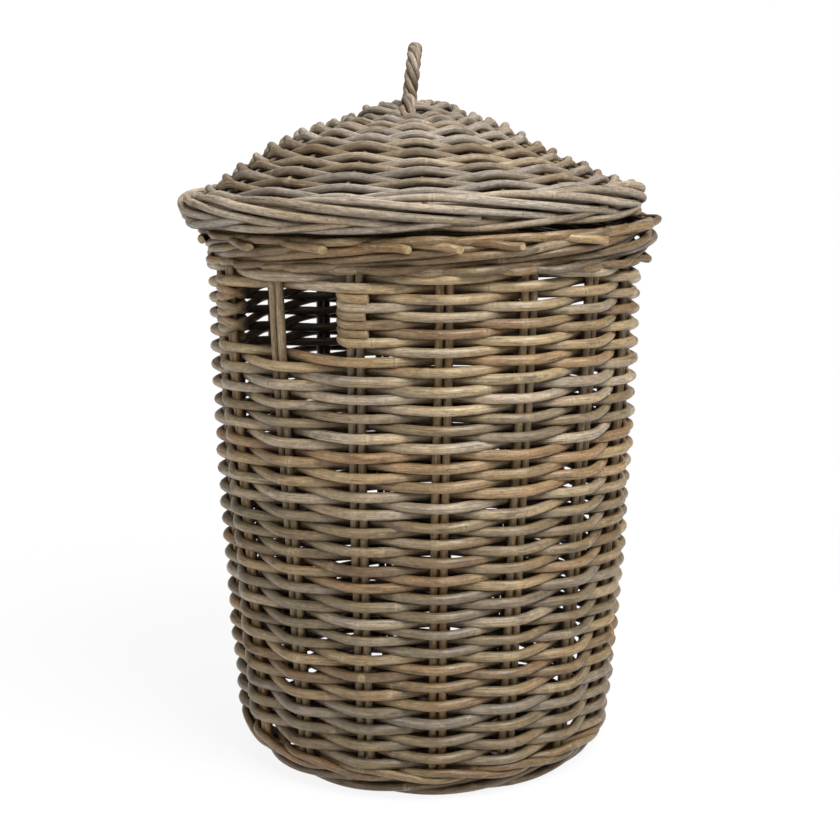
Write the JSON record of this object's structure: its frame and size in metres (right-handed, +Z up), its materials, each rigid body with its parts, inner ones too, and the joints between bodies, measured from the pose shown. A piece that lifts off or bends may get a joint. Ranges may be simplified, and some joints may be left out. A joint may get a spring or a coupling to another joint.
{
  "type": "laundry basket",
  "caption": "Tall round laundry basket woven from rattan cane, with hand holes under the rim and a loose conical lid with a twisted loop handle.",
  "frame": {"origin": "on the floor under the middle of the basket", "axes": "+Z up through the mouth and the lid; -X towards the first hand hole"},
  "size_m": [0.4926, 0.4878, 0.748],
  "materials": {
    "stake_cane": "natural rattan, satin",
    "weaver_cane": "weathered grey brown rattan, satin",
    "border_cane": "weathered brown rattan, satin",
    "lid_cane": "weathered grey rattan, satin",
    "handle_cane": "weathered grey tan rattan, satin"
  },
  "bodies": {
    "basket": {"stake_01": "stake_cane", "stake_02": "stake_cane", "stake_03": "stake_cane", "stake_04": "stake_cane", "stake_05": "stake_cane", "stake_06": "stake_cane", "stake_07": "stake_cane", "stake_08": "stake_cane", "stake_09": "stake_cane", "stake_10": "stake_cane", "stake_11": "stake_cane", "stake_12": "stake_cane", "stake_13": "stake_cane", "stake_14": "stake_cane", "stake_15": "stake_cane", "stake_16": "stake_cane", "stake_17": "stake_cane", "foot_ring": "border_cane", "foot_wale_upper": "border_cane", "foot_wale_lower": "border_cane", "base_weaver": "weaver_cane", "base_centre_coil": "weaver_cane", "wall_weaver_1": "weaver_cane", "wall_weaver_2": "weaver_cane", "wall_weaver_3": "weaver_cane", "wall_weaver_4": "weaver_cane", "wall_weaver_5": "weaver_cane", "wall_weaver_6": "weaver_cane", "wall_weaver_7": "weaver_cane", "hole_weaver_front": "weaver_cane", "hole_weaver_back": "weaver_cane", "top_weaver": "weaver_cane", "rim_outer_strand_1": "border_cane", "rim_outer_strand_2": "border_cane", "rim_outer_strand_3": "border_cane", "rim_top_strand": "border_cane", "rim_inner_strand": "border_cane"},
    "lid": {"lid_rib_pair_1": "stake_cane", "lid_rib_pair_2": "stake_cane", "lid_rib_pair_3": "stake_cane", "lid_rib_pair_4": "stake_cane", "lid_rib_pair_5": "stake_cane", "lid_rib_pair_6": "stake_cane", "lid_rib_pair_7": "stake_cane", "lid_rib_pair_8": "stake_cane", "lid_rib_single": "stake_cane", "lid_weaver_1": "lid_cane", "lid_weaver_2": "lid_cane", "lid_weaver_3": "lid_cane", "lid_crown_coil": "lid_cane", "lid_border_under_1": "lid_cane", "lid_border_under_2": "lid_cane", "lid_border_outer_1": "lid_cane", "lid_border_outer_2": "lid_cane", "lid_border_top_1": "lid_cane", "lid_border_top_2": "lid_cane", "handle_strand_1": "handle_cane", "handle_strand_2": "handle_cane", "handle_strand_3": "handle_cane", "handle_strand_4": "handle_cane"}
  },
  "joints": [
    {"name": "lid_lift", "type": "slide", "parent": "basket", "child": "lid", "axis": [0, 0, 1], "range_m": [0, 0.3]}
  ]
}
